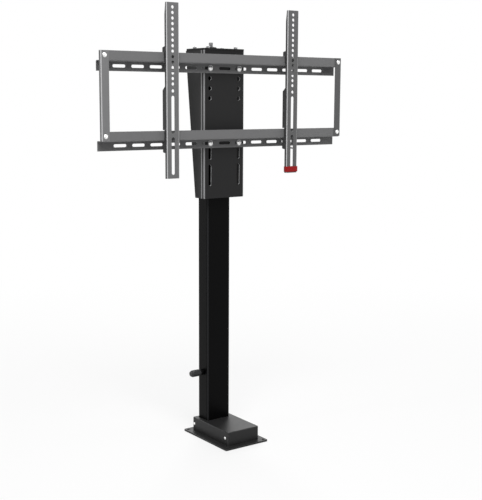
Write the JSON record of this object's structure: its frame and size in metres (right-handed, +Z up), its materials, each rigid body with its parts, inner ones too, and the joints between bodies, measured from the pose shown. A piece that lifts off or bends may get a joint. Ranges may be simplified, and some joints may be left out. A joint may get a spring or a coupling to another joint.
{
  "type": "tv lift mechanism",
  "caption": "Motorised screen lift: a telescopic column on a floor plate carries a tapered hood bracket, a slotted rail frame and hooked screen arms that slide along the rails.",
  "frame": {"origin": "on the floor under the axis of the telescopic column, on the underside of the floor plate", "axes": "+Z up along the column, +X to the right seen from the screen side, -Y towards the screen"},
  "size_m": [0.797, 0.216, 1.2118],
  "materials": {
    "frame_paint": "satin mid-grey powder coat",
    "hood_paint": "fine textured charcoal powder coat",
    "column_paint": "semi-gloss black paint",
    "base_paint": "fine textured black powder coat",
    "bright_zinc": "bright zinc plate",
    "dark_zinc": "black zinc plate",
    "plain_steel": "bare machined steel",
    "black_plastic": "moulded black plastic",
    "bronze": "turned bronze",
    "red_plastic": "moulded red plastic"
  },
  "bodies": {
    "base": {"base_plate": "base_paint", "column_socket": "base_paint", "socket_screws": "bright_zinc", "outer_tube": "column_paint", "top_bush": "black_plastic", "motor_cover": "base_paint", "cover_tabs": "plain_steel", "cover_screws": "bright_zinc", "gear_deck": "plain_steel", "deck_posts": "plain_steel", "deck_screws": "bright_zinc", "gear_motor": "plain_steel", "motor_screws": "bright_zinc", "control_unit": "black_plastic", "idler_pin": "plain_steel", "foot_bearing": "plain_steel", "bearing_block": "plain_steel", "cable_gland": "black_plastic", "knob_boss_nut": "column_paint"},
    "screw": {"lifting_screw": "plain_steel", "screw_wheel": "plain_steel", "thrust_collar": "plain_steel"},
    "idler": {"idler_gear": "plain_steel"},
    "pinion": {"motor_pinion": "plain_steel"},
    "knob": {"lock_knob": "black_plastic", "lock_stud": "bright_zinc"},
    "carriage": {"inner_tube": "column_paint", "inner_glide": "black_plastic", "nut_plate": "plain_steel", "drive_nut": "bronze", "nut_screws": "bright_zinc", "top_bridge": "hood_paint", "hood_bracket": "hood_paint", "cap_plate": "hood_paint", "cap_screws": "dark_zinc", "cap_hub": "hood_paint", "cap_stud": "dark_zinc", "upper_rail": "frame_paint", "lower_rail": "frame_paint", "left_strap": "frame_paint", "right_strap": "frame_paint", "strap_rivets": "bright_zinc", "rail_bolts": "bright_zinc", "rail_washers": "dark_zinc", "rail_nuts": "bright_zinc"},
    "left_arm": {"left_arm": "frame_paint"},
    "right_arm": {"right_arm": "frame_paint"},
    "latch": {"latch_plate": "dark_zinc", "red_sleeve": "red_plastic"}
  },
  "joints": [
    {"name": "lift", "type": "slide", "parent": "base", "child": "carriage", "axis": [0, 0, 1], "range_m": [-0.35, 0.15]},
    {"name": "screw_spin", "type": "hinge", "parent": "base", "child": "screw", "pos_m": [0, 0, 0.3], "axis": [0, 0, 1], "range_deg": [-4510, 10510]},
    {"name": "idler_spin", "type": "hinge", "parent": "base", "child": "idler", "pos_m": [0, -0.0375, 0.013], "axis": [0, 0, 1], "range_deg": [-11385, 4885]},
    {"name": "pinion_spin", "type": "hinge", "parent": "base", "child": "pinion", "pos_m": [0, -0.069, 0.013], "axis": [0, 0, 1], "range_deg": [-6510, 15177]},
    {"name": "knob_turn", "type": "hinge", "parent": "base", "child": "knob", "pos_m": [-0.06, 0, 0.184], "axis": [-1, 0, 0], "range_deg": [0, 720]},
    {"name": "left_arm_slide", "type": "slide", "parent": "carriage", "child": "left_arm", "axis": [1, 0, 0], "range_m": [-0.156, 0.094]},
    {"name": "right_arm_slide", "type": "slide", "parent": "carriage", "child": "right_arm", "axis": [1, 0, 0], "range_m": [-0.106, 0.144]},
    {"name": "latch_pull", "type": "slide", "parent": "right_arm", "child": "latch", "axis": [0, 0, -1], "range_m": [0, 0.012]}
  ],
  "couplings": [
    {"joint": "screw_spin", "follows": "lift", "rad_per_m": -523.6},
    {"joint": "idler_spin", "follows": "lift", "rad_per_m": 567.23},
    {"joint": "pinion_spin", "follows": "lift", "rad_per_m": -756.31}
  ]
}
